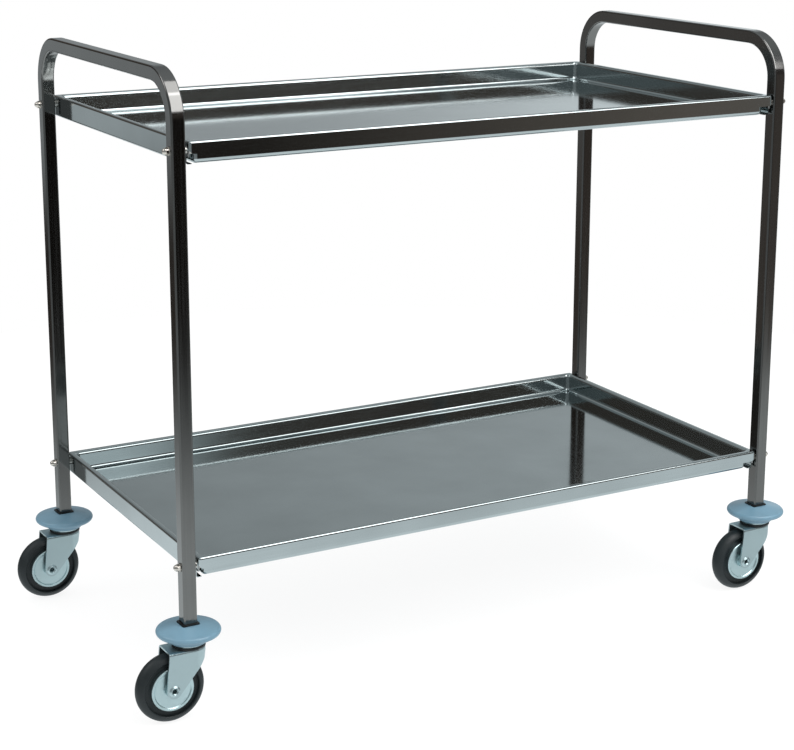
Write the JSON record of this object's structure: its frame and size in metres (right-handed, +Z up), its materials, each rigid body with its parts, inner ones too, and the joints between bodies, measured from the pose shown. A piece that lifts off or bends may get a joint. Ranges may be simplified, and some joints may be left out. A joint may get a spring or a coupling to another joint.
{
  "type": "serving cart",
  "caption": "Two-shelf stainless serving cart with bent square-tube end handles, pressed tray shelves and swivel casters with round bumper discs.",
  "frame": {"origin": "on the floor, at the middle of the whole footprint with every wheel trailing towards -X; the middle between the posts is 17.5 mm further towards +X", "axes": "+X along the cart from the left handle to the right handle, +Y to the back, +Z up"},
  "size_m": [1.115, 0.596, 0.895],
  "materials": {
    "frame_steel": "satin polished stainless tube",
    "tray_steel": "bright polished stainless sheet",
    "channel_steel": "mill finish stainless sheet",
    "fastener_steel": "plain stainless fastener",
    "nut_steel": "bright domed nut",
    "zinc_plate": "bright blue zinc plate",
    "wheel_zinc": "bright zinc pressed disc",
    "ball_steel": "polished ball",
    "bumper_plastic": "blue grey soft plastic",
    "black_nylon": "black moulded nylon",
    "tyre_rubber": "black solid rubber"
  },
  "bodies": {
    "cart": {"left_end_frame": "frame_steel", "right_end_frame": "frame_steel", "upper_tray": "tray_steel", "lower_tray": "tray_steel", "upper_tray_channel": "channel_steel", "lower_tray_channel": "channel_steel", "corner_plates": "channel_steel", "tray_bolts": "fastener_steel", "tray_spacers": "fastener_steel", "outer_washers": "fastener_steel", "domed_nuts": "nut_steel", "kingpins": "zinc_plate", "swivel_balls": "ball_steel", "front_left_post_insert": "black_nylon", "front_left_bumper": "bumper_plastic", "front_left_swivel_head": "zinc_plate", "front_left_dust_ring": "black_nylon", "front_right_post_insert": "black_nylon", "front_right_bumper": "bumper_plastic", "front_right_swivel_head": "zinc_plate", "front_right_dust_ring": "black_nylon", "back_left_post_insert": "black_nylon", "back_left_bumper": "bumper_plastic", "back_left_swivel_head": "zinc_plate", "back_left_dust_ring": "black_nylon", "back_right_post_insert": "black_nylon", "back_right_bumper": "bumper_plastic", "back_right_swivel_head": "zinc_plate", "back_right_dust_ring": "black_nylon"},
    "front_left_fork_body": {"front_left_fork": "zinc_plate", "front_left_axle_rivet": "zinc_plate", "front_left_thrust_washers": "zinc_plate"},
    "front_left_wheel": {"front_left_tyre": "tyre_rubber", "front_left_wheel_discs": "wheel_zinc", "front_left_hub_tube": "wheel_zinc", "front_left_hub_bush": "black_nylon"},
    "front_right_fork_body": {"front_right_fork": "zinc_plate", "front_right_axle_rivet": "zinc_plate", "front_right_thrust_washers": "zinc_plate"},
    "front_right_wheel": {"front_right_tyre": "tyre_rubber", "front_right_wheel_discs": "wheel_zinc", "front_right_hub_tube": "wheel_zinc", "front_right_hub_bush": "black_nylon"},
    "back_left_fork_body": {"back_left_fork": "zinc_plate", "back_left_axle_rivet": "zinc_plate", "back_left_thrust_washers": "zinc_plate"},
    "back_left_wheel": {"back_left_tyre": "tyre_rubber", "back_left_wheel_discs": "wheel_zinc", "back_left_hub_tube": "wheel_zinc", "back_left_hub_bush": "black_nylon"},
    "back_right_fork_body": {"back_right_fork": "zinc_plate", "back_right_axle_rivet": "zinc_plate", "back_right_thrust_washers": "zinc_plate"},
    "back_right_wheel": {"back_right_tyre": "tyre_rubber", "back_right_wheel_discs": "wheel_zinc", "back_right_hub_tube": "wheel_zinc", "back_right_hub_bush": "black_nylon"}
  },
  "joints": [
    {"name": "front_left_swivel", "type": "hinge", "parent": "cart", "child": "front_left_fork_body", "pos_m": [-0.4775, -0.253, 0.106], "axis": [0, 0, 1], "continuous": true},
    {"name": "front_left_wheel_spin", "type": "hinge", "parent": "front_left_fork_body", "child": "front_left_wheel", "pos_m": [-0.5075, -0.253, 0.05], "axis": [0, 1, 0], "continuous": true},
    {"name": "front_right_swivel", "type": "hinge", "parent": "cart", "child": "front_right_fork_body", "pos_m": [0.5125, -0.253, 0.106], "axis": [0, 0, 1], "continuous": true},
    {"name": "front_right_wheel_spin", "type": "hinge", "parent": "front_right_fork_body", "child": "front_right_wheel", "pos_m": [0.4825, -0.253, 0.05], "axis": [0, 1, 0], "continuous": true},
    {"name": "back_left_swivel", "type": "hinge", "parent": "cart", "child": "back_left_fork_body", "pos_m": [-0.4775, 0.253, 0.106], "axis": [0, 0, 1], "continuous": true},
    {"name": "back_left_wheel_spin", "type": "hinge", "parent": "back_left_fork_body", "child": "back_left_wheel", "pos_m": [-0.5075, 0.253, 0.05], "axis": [0, 1, 0], "continuous": true},
    {"name": "back_right_swivel", "type": "hinge", "parent": "cart", "child": "back_right_fork_body", "pos_m": [0.5125, 0.253, 0.106], "axis": [0, 0, 1], "continuous": true},
    {"name": "back_right_wheel_spin", "type": "hinge", "parent": "back_right_fork_body", "child": "back_right_wheel", "pos_m": [0.4825, 0.253, 0.05], "axis": [0, 1, 0], "continuous": true}
  ]
}
